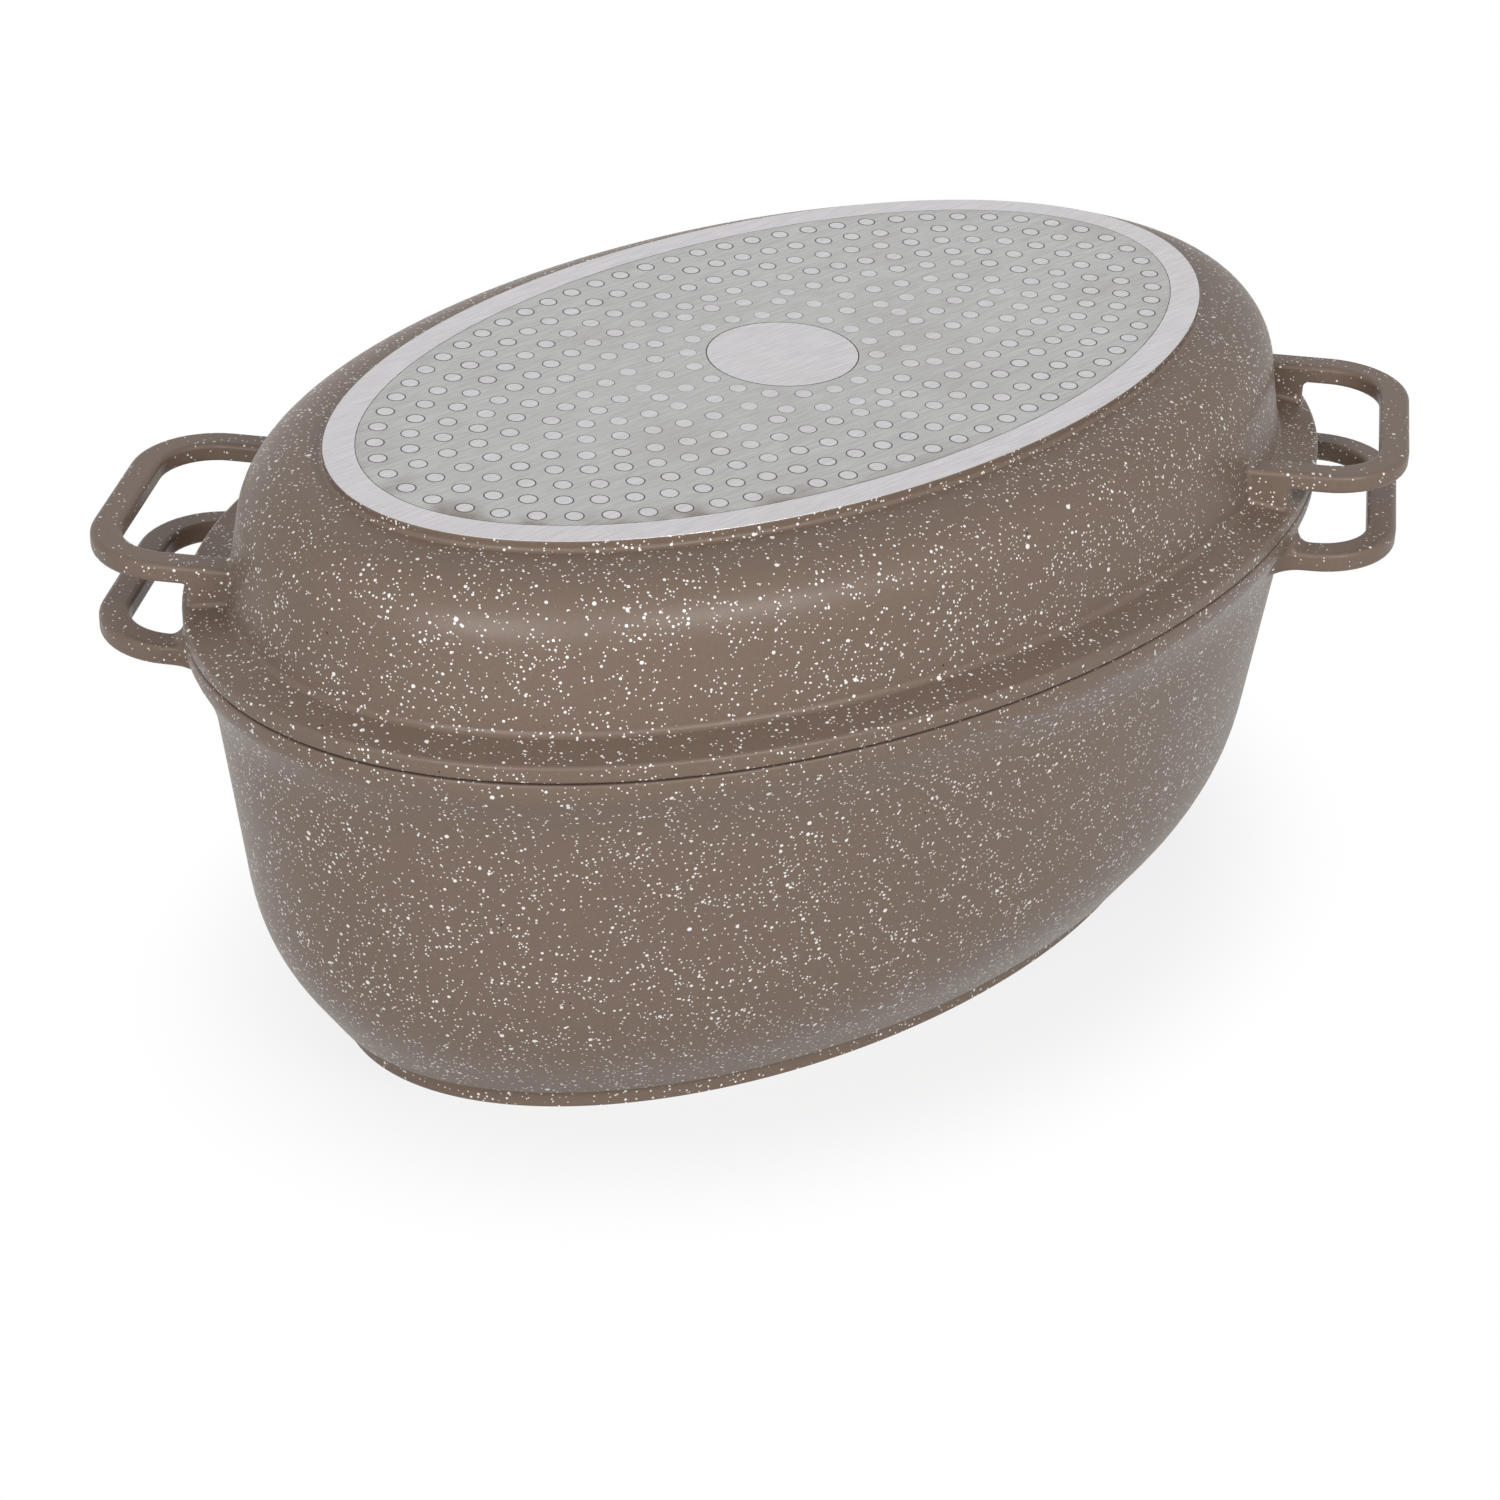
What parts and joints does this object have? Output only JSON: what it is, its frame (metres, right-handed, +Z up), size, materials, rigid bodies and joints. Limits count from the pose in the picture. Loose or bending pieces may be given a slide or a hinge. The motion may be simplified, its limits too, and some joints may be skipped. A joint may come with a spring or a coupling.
{
  "type": "oval roasting pan",
  "caption": "Deep oval cast roasting pan whose domed lid is a shallow pan turned over, with cast strap handles and a perforated steel disc in each base.",
  "frame": {"origin": "centre of the pan's machined base, on the surface it stands on", "axes": "+X along the long axis of the oval, towards the end with the right handle; +Y across it; +Z up"},
  "size_m": [0.392, 0.26, 0.1865],
  "materials": {
    "pan_coating": "cast aluminium with a speckled taupe non-stick coating, bare turned metal on the base ring",
    "pan_disc_steel": "brushed stainless steel",
    "lid_coating": "cast aluminium with a speckled taupe non-stick coating, bare turned metal on the top ring",
    "lid_disc_steel": "brushed stainless steel",
    "bare_aluminium": "bare turned aluminium of the studs and the medallion"
  },
  "bodies": {
    "pan": {"pan_body": "pan_coating", "pan_induction_disc": "pan_disc_steel"},
    "lid": {"lid_body": "lid_coating", "lid_induction_disc": "lid_disc_steel"}
  },
  "joints": [
    {"name": "lid_lift", "type": "slide", "parent": "pan", "child": "lid", "axis": [0, 0, 1], "range_m": [0, 0.15]}
  ]
}
